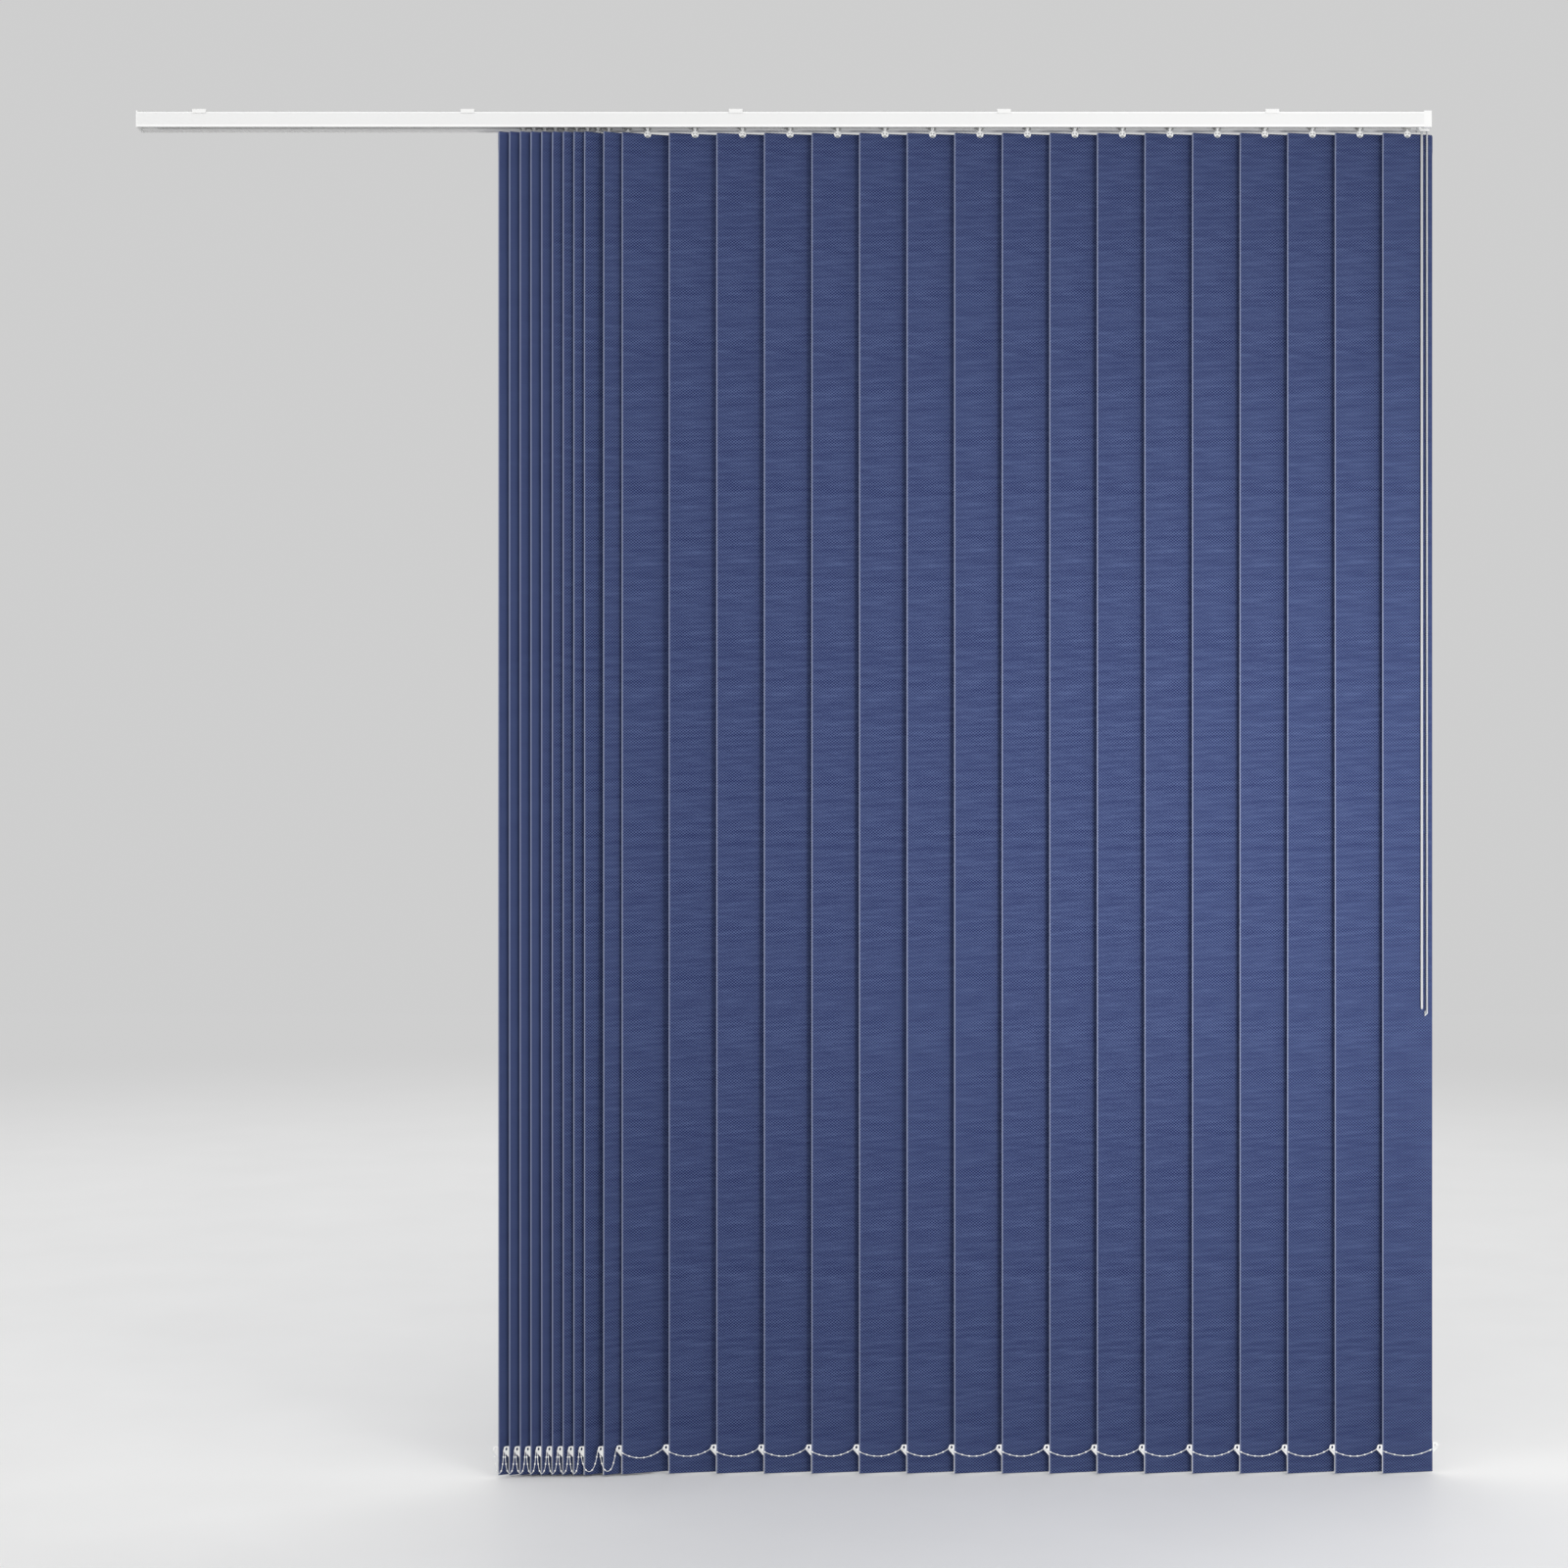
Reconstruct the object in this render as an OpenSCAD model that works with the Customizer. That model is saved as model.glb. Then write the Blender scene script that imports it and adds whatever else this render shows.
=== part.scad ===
// Vertical blind: fabric louvres hung from carriers that run in a headrail, part of the way drawn.
// Millimetres. X runs along the rail to the right, Y away from the room, Z up.
// The origin is the screw hole of the middle bracket, on the face that meets the window's head.

/* [Louvres] */
// How many louvres the blind has
slat_count = 27; // [14:1:27]
// Width of a louvre's fabric
slat_w = 89; // [84:1:92]
// Length of a louvre from its top edge to its bottom fold
slat_l = 2255; // [1700:5:2400]
// Thickness of the woven fabric
cloth_t = 0.5; // [0.4:0.05:0.55]
// Height of the sewn pocket that holds the hanger
top_pocket_h = 34; // [28:1:45]
// Height of the sewn pocket that holds the weight
weight_pocket_h = 52; // [50:1:60]

/* [Spacing along the rail] */
// Distance between louvres where the blind is spread
spread_pitch = 80; // [78:0.5:82]
// Distance between louvres that are pushed together
stack_pitch = 18; // [18:0.25:20]
// Distance from the last louvre of the bunch to the first one that it has met
gathering_pitch = 32; // [30:0.5:40]
// Distance from that louvre to the next one
leaving_pitch = 33; // [30:0.5:40]
// How many louvres are pushed together
bunched = 9; // [2:1:9]
// Turn of a spread louvre away from the line of the rail, in degrees
closed_tilt = 10; // [10:0.5:14]
// Turn of the louvre next to the bunch, in degrees
leaving_tilt = 17; // [15:0.5:20]
// Turn of the bunched louvres, in degrees
bunched_tilt = 25; // [22:0.5:30]

/* [Headrail] */
// Distance from the origin to the left end of the rail
rail_left = 1006; // [960:1:1100]
// Distance from the origin to the right end of the control end
rail_right = 1167.5; // [1165:0.5:1175]
// Depth of the rail from front to back
rail_d = 40; // [40:0.5:44]
// Height of the rail
rail_h = 28.6; // [28.6:0.1:32]
// Wall of the extrusion
rail_wall = 1.3; // [1:0.1:1.5]
// Radius of the rail's upper edges
rail_round = 3; // [2:0.25:4]
// Width of the slot that the carriers' necks hang through
slot_w = 13; // [13:0.25:14]
// How far the running ledges lie above the rail's lower edge
ledge_rise = 2.5; // [2:0.1:3]
// Height of the lip along each side of the slot
lip_h = 1.5; // [1:0.1:1.6]

/* [Brackets] */
// Distance between two brackets
bracket_pitch = 450; // [400:5:460]
// How many brackets hold the rail
bracket_count = 5; // [3:2:5]
// Width of a bracket
bracket_w = 23; // [18:0.5:28]
// Thickness of a bracket
bracket_t = 1.6; // [1.2:0.1:2]
// Radius of a bracket's screw hole
screw_r = 2.25; // [2:0.05:2.5]

/* [Carriers] */
// Length of a carrier along the rail
carrier_w = 16.5; // [15:0.25:17.5]
// Depth of a carrier's body
carrier_d = 19.6; // [19:0.1:20]
// Height of a carrier's body
carrier_h = 14; // [13.5:0.1:14.5]
// Radius of a carrier's roller
roller_r = 3; // [2.5:0.1:3.2]
// Thickness of a spacer link
link_t = 0.5; // [0.4:0.05:0.7]
// Width of a spacer link
link_w = 6; // [4:0.25:6]
// Radius of the tilt rod
rod_r = 2.5; // [2:0.1:2.6]
// Radius of the hook's stem
stem_r = 1.7; // [1.5:0.05:1.8]

/* [Hooks, hangers and weights] */
// Thickness of the hook, the most that a louvre measures through
hook_t = 2.2; // [2:0.1:2.3]
// Width of the hook's ring
hook_w = 12.6; // [12:0.1:13]
// Width of the hanger in the top pocket
hanger_w = 70; // [50:1:80]
// Thickness of the hanger and of the weight
insert_t = 1; // [0.8:0.05:1]
// Height of the bottom weight
weight_h = 47; // [44:0.5:48]
// Reach of the weight's ears past the fabric
ear_reach = 10.5; // [8:0.25:11]

/* [Chains and cords] */
// Length of stabiliser chain between two louvres
link_chain_length = 88; // [86:0.5:96]
// Radius of a bead of the stabiliser chain
bead_r = 1.75; // [1.5:0.05:1.8]
// Radius of the draw cord
cord_r = 1; // [0.8:0.05:1.1]
// Drop of the draw cord's loop below the rail
cord_drop = 1480; // [1000:5:1700]
// Radius of the bead control chain
chain_r = 1.7; // [1.5:0.05:1.75]
// Drop of the control chain's loop below the rail
chain_drop = 1490; // [1000:5:1700]

/* [Hidden] */
$fn = 48;
fit = 0.3;

white = [0.93, 0.93, 0.92];
clear_grey = [0.72, 0.72, 0.70];
navy = [0.17, 0.21, 0.42];
steel = [0.75, 0.76, 0.78];

function two(n) = str(n < 10 ? "0" : "", n);
function slat_node(k) = str("louvre_", two(k));
function carrier_node(k) = str("carrier_", two(k));

// Heights, all measured down from the face of the brackets
rail_top = -bracket_t;
rail_bottom = rail_top - rail_h;
ledge_under = rail_bottom + ledge_rise;
ledge_top = ledge_under + rail_wall;
carrier_bottom = ledge_top + lip_h + fit;
carrier_top = carrier_bottom + carrier_h;
cord_z = carrier_top - 2.5;
rod_z = carrier_bottom + 6;
rod_y = 5.5;
cord_y = carrier_d / 2 - 0.8;
neck_bottom = rail_bottom + 0.6;
neck_r = slot_w / 2 - fit;
slat_top = rail_bottom - 6.6;
slat_bottom = slat_top - slat_l;

// The ends of the rail
idle_cap_t = 2.5;
control_cap_l = 12.8;
extrusion_left = -rail_left + idle_cap_t;
extrusion_right = rail_right - control_cap_l;
end_stem_inset = 36.5;
fixed_x = rail_right - end_stem_inset;
cord_x = rail_right - 12;
chain_x = rail_right - 3.5;
plug_left = fixed_x + carrier_w / 2 + fit;
pulley_x = extrusion_left + 16;

// Where each louvre hangs, counted from the left, and how it is turned
function rest_pitch(k) = k < bunched ? stack_pitch
    : k == bunched ? gathering_pitch
    : k == bunched + 1 ? leaving_pitch
    : spread_pitch;
function stem_x(k) = k >= slat_count ? fixed_x : stem_x(k + 1) - rest_pitch(k);
function slat_tilt(k) = k <= bunched + 1 ? bunched_tilt
    : k == bunched + 2 ? leaving_tilt
    : closed_tilt;

// A link is fixed to one carrier and lies over the next four when they are pushed together,
// so five heights are used in turn
link_levels = 5;
link_rise = 1.1;
link_over = 3;
function link_z(k) = carrier_top + 0.6 + (k % link_levels) * link_rise;
guide_y = link_w / 2 + 0.7;
guide_t = 1.2;
guide_top = carrier_top + 0.6 + (link_levels - 1) * link_rise + link_t;

// A profile in Y and Z swept along X, starting at x = 0
module along_x(length) {
    rotate([90, 0, 90]) linear_extrude(height = length) children();
}

module rounded_box_2d(w, h, top_r, low_r) {
    translate([-w / 2, -h + low_r]) square([w, h - low_r - top_r]);
    translate([-w / 2 + top_r, -top_r]) square([w - 2 * top_r, top_r]);
    translate([-w / 2 + low_r, -h]) square([w - 2 * low_r, low_r]);
    for (s = [-1, 1]) {
        translate([s * (w / 2 - top_r), -top_r]) circle(r = top_r);
        translate([s * (w / 2 - low_r), -h + low_r]) circle(r = low_r);
    }
}

// Headrail: an extruded channel with two running ledges and a lip along the slot
low_round = 1;
groove_drop = 4.6;
groove_r = 0.5;

module rail_outline() {
    rounded_box_2d(rail_d, rail_h, rail_round, low_round);
}

module rail_section() {
    inner_w = rail_d - 2 * rail_wall;
    difference() {
        rail_outline();
        translate([0, -rail_wall])
            rounded_box_2d(inner_w, rail_h - 2 * rail_wall - ledge_rise, rail_round - rail_wall, 0.5);
        translate([-slot_w / 2, -rail_h - 1]) square([slot_w, ledge_rise + rail_wall + 2]);
        translate([-inner_w / 2, -rail_h - 1]) square([inner_w, ledge_rise + 1]);
        for (s = [-1, 1])
            translate([s * rail_d / 2, -groove_drop]) circle(r = groove_r);
    }
    for (s = [-1, 1])
        translate([s * (slot_w + rail_wall) / 2 - rail_wall / 2, -rail_h + ledge_rise])
            square([rail_wall, rail_wall + lip_h]);
}

module headrail() {
    color(white)
        translate([extrusion_left, 0, rail_top])
            along_x(extrusion_right - extrusion_left) rail_section();
}

// Brackets: sprung clips with a front lip, a back lip and one screw hole
lip_gap = 0.1;
lip_t = 1.1;
lip_drop = groove_drop + groove_r;
ear_cut = 2;

module bracket_section() {
    side = rail_d / 2 + lip_gap;
    translate([-side - lip_t, -bracket_t]) square([2 * (side + lip_t), bracket_t]);
    for (s = [-1, 1]) {
        translate([s * (side + lip_t / 2) - lip_t / 2, -bracket_t - lip_drop]) square([lip_t, lip_drop]);
        intersection() {
            translate([s * rail_d / 2, -bracket_t - groove_drop]) circle(r = groove_r - 0.1);
            translate([s * (side + lip_t / 2) - lip_t / 2 - (s > 0 ? 0.5 : 0), -bracket_t - lip_drop])
                square([lip_t + 0.5, lip_drop]);
        }
    }
}

module bracket() {
    difference() {
        translate([-bracket_w / 2, 0, 0]) along_x(bracket_w) bracket_section();
        translate([0, 0, -bracket_t - 1]) cylinder(r = screw_r, h = bracket_t + 2);
        for (s = [-1, 1])
            translate([s * bracket_w / 2, -rail_d / 2 - 5, -bracket_t - lip_drop])
                rotate([0, s * 30, 0]) translate([-ear_cut / 2, 0, -5]) cube([ear_cut, 10, 10]);
    }
}

module brackets() {
    color(white)
        for (i = [0 : bracket_count - 1])
            translate([(i - (bracket_count - 1) / 2) * bracket_pitch, 0, 0]) bracket();
}

// Carrier: a moulded body on four rollers, with a round neck through the slot,
// a bore for the tilt rod, a groove for each run of the draw cord and guides for the links
stem_top = carrier_bottom + 2.5;
stem_play = 0.15;
roller_l = 3;
roller_x = carrier_w / 2 - roller_r - 0.4;
axle_r = 1.2;
body_chamfer = 2;

module roller_pair() {
    axle_l = carrier_d + 1 + 2 * roller_l;
    for (s = [-1, 1])
        translate([s * roller_x, 0, ledge_top + roller_r + 0.2]) rotate([90, 0, 0]) {
            cylinder(r = axle_r, h = axle_l, center = true);
            for (e = [-1, 1])
                translate([0, 0, e * (axle_l - roller_l) / 2])
                    cylinder(r = roller_r, h = roller_l, center = true);
        }
}

module carrier_block() {
    difference() {
        translate([-carrier_w / 2, -carrier_d / 2, carrier_bottom]) cube([carrier_w, carrier_d, carrier_h]);
        for (s = [-1, 1])
            translate([s * carrier_w / 2, 0, carrier_bottom]) rotate([0, 45, 0])
                cube([body_chamfer, carrier_d + 2, body_chamfer], center = true);
    }
}

module carrier_body() {
    difference() {
        union() {
            carrier_block();
            translate([0, 0, neck_bottom]) cylinder(r = neck_r, h = carrier_bottom - neck_bottom + 1);
            roller_pair();
            for (s = [-1, 1])
                translate([-carrier_w / 2 + 2, s * (guide_y + guide_t / 2) - guide_t / 2, carrier_top - 1])
                    cube([carrier_w - 4, guide_t, guide_top - carrier_top + 1]);
        }
        for (s = [-1, 1])
            translate([-carrier_w, s * cord_y, cord_z]) rotate([0, 90, 0])
                cylinder(r = cord_r + 0.5, h = 2 * carrier_w);
        translate([-carrier_w, rod_y, rod_z]) rotate([0, 90, 0])
            cylinder(r = rod_r + fit, h = 2 * carrier_w);
        translate([0, 0, neck_bottom - 1])
            cylinder(r = stem_r + stem_play, h = stem_top + fit - neck_bottom + 1);
    }
}

module spacer_link(k) {
    reach = spread_pitch + link_over;
    translate([-reach, -link_w / 2, link_z(k)]) cube([reach + link_over, link_w, link_t]);
    translate([-reach, 0, link_z(k)]) cylinder(r = link_w / 2, h = link_t);
    translate([-2, 0, link_z(k)]) cube([4, guide_y + guide_t / 2, link_t]);
}

module carrier(k) {
    translate([stem_x(k), 0, 0]) {
        color(clear_grey) carrier_body();
        if (k > 1) color(steel) spacer_link(k);
    }
}

// Tilt rod: a grooved rod that turns every carrier's worm
groove_w = 0.9;

module rod_section() {
    difference() {
        circle(r = rod_r);
        for (a = [90, 210, 330])
            rotate(a) translate([rod_r - groove_w, -groove_w / 2]) square([2 * groove_w, groove_w]);
    }
}

rod_left = extrusion_left + 4;
rod_right = extrusion_right - 6;

module tilt_rod() {
    color(steel)
        translate([rod_left, rod_y, rod_z]) along_x(rod_right - rod_left) rod_section();
}

// Idle end: a cap with the rod's bearing and the pulley that turns the draw cord back
pulley_h = 3.4;
pulley_r = cord_y + cord_r;
pin_r = 2;
idle_plug_l = 28;

module pulley() {
    rotate_extrude() difference() {
        translate([pin_r + 0.1, -pulley_h / 2]) square([pulley_r - pin_r - 0.1, pulley_h]);
        translate([cord_y, 0]) circle(r = cord_r + 0.15);
        translate([cord_y, -cord_r - 0.15]) square([3, 2 * cord_r + 0.3]);
    }
}

module idle_end() {
    plug_w = rail_d - 2 * rail_wall - 2 * fit;
    pulley_base = cord_z - pulley_h / 2 - 0.3;
    color(white) {
        translate([-rail_left, 0, rail_top]) along_x(idle_cap_t) rail_outline();
        difference() {
            union() {
                translate([extrusion_left, -plug_w / 2, carrier_bottom])
                    cube([idle_plug_l, plug_w, pulley_base - carrier_bottom]);
                translate([pulley_x, 0, pulley_base - 1])
                    cylinder(r = pin_r, h = rail_top - rail_wall - fit - pulley_base + 1);
            }
            translate([rod_left - fit, rod_y, rod_z]) rotate([0, 90, 0])
                cylinder(r = rod_r + fit, h = idle_plug_l);
        }
    }
    color(steel) translate([pulley_x, 0, cord_z]) pulley();
}

// Control end: a cap with the gear and cord housing, the exits of the draw cord and of the
// control chain, and the end carrier, which stays where it is
strand_y = 1.9;
strand_x = 1.05;
nose_h = 3.2;
nose_taper = 2;
nose_inset = 0.6;
exit_depth = 10;
hole_play = 0.25;

// The spout that the cords leave through, which narrows towards its lower edge
module nose(width) {
    nose_left = cord_x - 6.5;
    nose_right = rail_right - nose_inset;
    translate([0, width / 2, 0]) rotate([90, 0, 0]) linear_extrude(height = width) polygon([
        [nose_left, rail_bottom + 0.5], [nose_left, rail_bottom],
        [nose_left + nose_taper, rail_bottom - nose_h],
        [nose_right - nose_taper / 4, rail_bottom - nose_h], [nose_right, rail_bottom],
        [nose_right, rail_bottom + 0.5]
    ]);
}

module cord_exits() {
    for (s = [-1, 1]) {
        translate([cord_x + s * strand_x, 0, rail_bottom - nose_h - 1])
            cylinder(r = cord_r + hole_play, h = exit_depth + 1);
        translate([chain_x, s * strand_y, rail_bottom - nose_h - 1])
            cylinder(r = chain_r + hole_play, h = exit_depth + 1);
    }
    translate([chain_x - chain_r - hole_play, -strand_y, rail_bottom - nose_h - 1])
        cube([2 * (chain_r + hole_play), 2 * strand_y, exit_depth + 1]);
}

module control_end() {
    plug_w = rail_d - 2 * rail_wall - 2 * fit;
    plug_l = extrusion_right - plug_left;
    plug_h = rail_top - rail_wall - fit - carrier_bottom;
    tongue_w = slot_w - 2 * fit;
    color(white) difference() {
        union() {
            translate([extrusion_right, 0, rail_top]) along_x(control_cap_l) rail_outline();
            translate([plug_left, -plug_w / 2, carrier_bottom]) cube([plug_l, plug_w, plug_h]);
            translate([extrusion_right - 6, -tongue_w / 2, rail_bottom])
                cube([7, tongue_w, carrier_bottom - rail_bottom + 1]);
            nose(tongue_w);
        }
        cord_exits();
        translate([plug_left - 1, rod_y, rod_z]) rotate([0, 90, 0])
            cylinder(r = rod_r + fit, h = rod_right + fit - plug_left + 1);
    }
    translate([fixed_x, 0, 0]) {
        color(clear_grey) carrier_body();
        color(steel) spacer_link(slat_count);
    }
}

// Louvre: fabric with two sewn pockets, a hanger, a hook and a bottom weight.
// It is drawn with its width along X and is then turned about the hook's stem.
pocket_t = 2 * cloth_t + 1.2 * insert_t;
slat_round = 3;
notch_r = 6.5;

module slat_section() {
    translate([-cloth_t / 2, slat_bottom + weight_pocket_h - 1])
        square([cloth_t, slat_l - weight_pocket_h - top_pocket_h + 2]);
    difference() {
        union() {
            translate([-pocket_t / 2, slat_bottom + pocket_t / 2])
                square([pocket_t, weight_pocket_h - pocket_t / 2]);
            translate([0, slat_bottom + pocket_t / 2]) circle(r = pocket_t / 2);
            translate([-pocket_t / 2, slat_top - top_pocket_h])
                square([pocket_t, top_pocket_h - pocket_t / 2]);
            translate([0, slat_top - pocket_t / 2]) circle(r = pocket_t / 2);
        }
        translate([-pocket_t / 2 + cloth_t, slat_bottom + cloth_t])
            square([pocket_t - 2 * cloth_t, weight_pocket_h - 3 * cloth_t]);
        translate([-pocket_t / 2 + cloth_t, slat_top - top_pocket_h + 2 * cloth_t])
            square([pocket_t - 2 * cloth_t, top_pocket_h - 3 * cloth_t]);
    }
}

module slat_fabric() {
    intersection() {
        translate([-slat_w / 2, 0, 0]) along_x(slat_w) slat_section();
        translate([0, pocket_t, 0]) rotate([90, 0, 0]) linear_extrude(height = 2 * pocket_t) difference() {
            translate([0, slat_top]) rounded_box_2d(slat_w, slat_l, slat_round, 0.5);
            translate([0, slat_top + 0.5]) circle(r = notch_r);
        }
    }
}

// A flat shape in X and Z, as thick as it is told, about the middle of the louvre
module plate(thickness) {
    translate([0, thickness / 2, 0]) rotate([90, 0, 0]) linear_extrude(height = thickness) children();
}

hanger_h = 18;
hanger_drop = 8;
tab_r = 4.4;
bar_w = 5;
bar_h = 1.6;
bar_z = slat_top - 0.6;

module hanger() {
    plate(insert_t) difference() {
        union() {
            translate([-hanger_w / 2, slat_top - hanger_drop - hanger_h]) square([hanger_w, hanger_h]);
            translate([-tab_r, slat_top - hanger_drop - 1]) square([2 * tab_r, hanger_drop - 2.5]);
            translate([0, slat_top - 3.5]) circle(r = tab_r);
        }
        translate([-bar_w / 2 - 0.2, bar_z - bar_h / 2 - 0.2]) square([bar_w + 0.4, bar_h + 0.4]);
    }
}

module hook() {
    slit_t = insert_t + 0.2;
    difference() {
        union() {
            plate(hook_t) difference() {
                translate([0, slat_top]) circle(r = hook_w / 2);
                for (s = [-1, 1]) translate([s * 3, slat_top + 2.6]) circle(r = 1.4);
                translate([0, slat_top - 5.4]) circle(r = 3.4);
                translate([-hook_w, slat_top - hook_w]) square([2 * hook_w, hook_w - 4.2]);
            }
            translate([0, 0, slat_top + 4]) cylinder(r = stem_r, h = stem_top - slat_top - 4);
        }
        difference() {
            translate([-tab_r - 0.4, -slit_t / 2, slat_top - hook_w])
                cube([2 * tab_r + 0.8, slit_t, hook_w + 1.2]);
            translate([-bar_w / 2, -slit_t, bar_z - bar_h / 2]) cube([bar_w, 2 * slit_t, bar_h]);
        }
    }
}

// The weight carries an ear at each end, where the stabiliser chains clip on
ear_t = 1.6;
ear_rise = 42;
ear_z = slat_bottom + ear_rise;
weight_low = slat_bottom + cloth_t + 0.2;

module ear_2d() {
    edge = slat_w / 2 + 0.3;
    tip = slat_w / 2 + ear_reach;
    difference() {
        polygon([
            [edge, ear_z - 12], [edge + 4.5, ear_z - 7], [tip - 2, ear_z - 2.5], [tip, ear_z - 1.5],
            [tip, ear_z + 0.5], [tip - 1.5, ear_z + 1.5], [tip - 1.5, ear_z + 4.5],
            [tip - 4, ear_z + 7], [edge, ear_z + 7]
        ]);
        translate([edge + 4, ear_z + 3]) circle(r = 1.6);
    }
}

module weight() {
    plate(insert_t) translate([-slat_w / 2 - 0.6, weight_low]) square([slat_w + 1.2, weight_h]);
    for (s = [0, 1]) mirror([s, 0, 0]) plate(ear_t) ear_2d();
}

module louvre(k) {
    translate([stem_x(k), 0, 0]) rotate([0, 0, slat_tilt(k)]) {
        color(navy) slat_fabric();
        color(clear_grey) hanger();
        color(white) hook();
        color(white) weight();
    }
}

// Stabiliser chains: a beaded chain joins the ears of neighbouring louvres, in front and behind.
// The front one ends across the last louvre, at its other ear.
// Each length hangs in a catenary, and a bead sits every seventh of it.
beads = 7;
string_r = 0.5;
least_slack = 1.05;
chain_out = hook_t / 2 + bead_r + fit;

function turn(a, p) = [cos(a) * p[0] - sin(a) * p[1], sin(a) * p[0] + cos(a) * p[1]];
function ear_point(k, side, face) = let (
        p = turn(slat_tilt(k), [-side * (slat_w / 2 + ear_reach - 1), -face * chain_out])
    ) [stem_x(k) + p[0], p[1], ear_z];

function sinh(v) = (exp(v) - exp(-v)) / 2;
function asinh(v) = ln(v + sqrt(v * v + 1));
// The v at which sinh(v) / v equals the ratio of the chain's length to its span, by halving
function solve(ratio, low, high, steps) = steps == 0 ? (low + high) / 2
    : sinh((low + high) / 2) / ((low + high) / 2) < ratio
        ? solve(ratio, (low + high) / 2, high, steps - 1)
        : solve(ratio, low, (low + high) / 2, steps - 1);

// A ring of the chain: where it is along the length, and how thick the chain is there
function hang(from, to, length, s) = let (
        across = to - from,
        span = norm([across[0], across[1]]),
        v = solve(length / span, 0.01, 6, 30),
        a = span / (2 * v),
        flat = [across[0], across[1]] / span,
        x = a * asinh(s / a) + span / 2,
        z = sqrt(s * s + a * a) - sqrt(length * length / 4 + a * a)
    ) [from[0] + flat[0] * x, from[1] + flat[1] * x, from[2] + z];

function unit(v) = v / norm(v);

// A closed tube through rings of points
module skin_rings(rings) {
    sides = len(rings[0]);
    last = len(rings) - 1;
    polyhedron(
        points = [for (r = rings) each r],
        faces = concat(
            [[for (i = [0 : sides - 1]) i]],
            [for (j = [0 : last - 1], i = [0 : sides - 1])
                [j * sides + i, (j + 1) * sides + i,
                 (j + 1) * sides + (i + 1) % sides, j * sides + (i + 1) % sides]],
            [[for (i = [0 : sides - 1]) last * sides + sides - 1 - i]]
        )
    );
}

bead_sides = 6;
function side_of(from, to) = unit([to[1] - from[1], from[0] - to[0], 0]);
function bead_ring(at, ahead, across, r) = let (b = cross(unit(ahead), across))
    [for (i = [0 : bead_sides - 1])
        at + r * (cos(360 * i / bead_sides) * across + sin(360 * i / bead_sides) * b)];

module chain_length(from, to) {
    steps = 2 * beads;
    length = max(link_chain_length, least_slack * norm(to - from));
    function along(i) = length * (i / steps - 0.5);
    skin_rings([for (i = [0 : steps])
        bead_ring(
            hang(from, to, length, along(i)),
            hang(from, to, length, along(i + 0.2)) - hang(from, to, length, along(i - 0.2)),
            side_of(from, to),
            i % 2 == 0 ? bead_r : string_r
        )]);
}

module stabiliser_chains() {
    color(white) {
        for (side = [1, -1], k = [1 : slat_count - 1])
            chain_length(ear_point(k, side, side), ear_point(k + 1, side, side));
        chain_length(ear_point(slat_count, 1, 1), ear_point(slat_count, -1, 1));
    }
}

// Control cords: the draw cord's hanging loop and its run inside the rail, and the bead chain.
// A route is a list of points, and a tube is swept along it.
cord_sides = 8;
loop_steps = 8;

function sweep_ring(route, i, r) = let (
        here = route[i],
        before = route[max(i - 1, 0)],
        after = route[min(i + 1, len(route) - 1)],
        side = loop_side(route)
    ) [for (j = [0 : cord_sides - 1]) here + r * (cos(360 * j / cord_sides) * side
        + sin(360 * j / cord_sides) * cross(unit(after - before), side))];
function loop_side(route) = unit(cross(route[1] - route[0], route[len(route) - 1] - route[0]));

module loop_cord(route, r) {
    skin_rings([for (i = [0 : len(route) - 1]) sweep_ring(route, i, r)]);
}

exit_z = rail_bottom - nose_h + exit_depth;
function hanging_loop(x, half, side, low) = concat(
    [[x, 0, exit_z] - half * side, [x, 0, rail_bottom - 20] - half * side,
     [x, 0, rail_bottom - low / 2] - half * side],
    [for (i = [0 : loop_steps]) [x, 0, rail_bottom - low + half]
        - half * cos(180 * i / loop_steps) * side - [0, 0, half * sin(180 * i / loop_steps)]],
    [[x, 0, rail_bottom - low / 2] + half * side, [x, 0, rail_bottom - 20] + half * side,
     [x, 0, exit_z] + half * side]
);

function rail_run() = concat(
    [[plug_left, -cord_y, cord_z], [0, -cord_y, cord_z]],
    [for (i = [0 : loop_steps]) [pulley_x, 0, cord_z]
        + cord_y * [-sin(180 * i / loop_steps), -cos(180 * i / loop_steps), 0]],
    [[0, cord_y, cord_z], [plug_left, cord_y, cord_z]]
);

module control_cords() {
    color(white) {
        loop_cord(hanging_loop(cord_x, strand_x, [1, 0, 0], cord_drop), cord_r);
        loop_cord(rail_run(), cord_r);
        loop_cord(hanging_loop(chain_x, strand_y, [0, 1, 0], chain_drop), chain_r);
    }
}

headrail();
brackets();
idle_end();
control_end();
tilt_rod();
stabiliser_chains();
control_cords();
for (k = [1 : slat_count - 1])
    carrier(k);
for (k = [1 : slat_count])
    louvre(k);
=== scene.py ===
# %% [markdown]
# # A vertical blind, partly drawn
# Woven louvres hang from carriers in a white headrail. Every louvre is held at its top by a
# hook and kept straight by a flat weight in a pocket at its foot, and beaded chains join the
# weights in front and behind. The solid model gives the frame: here it is loaded.

# %% Load the frame
import math
import random

import bmesh
import bpy
import numpy as np
from mathutils import Matrix, Vector


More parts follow.
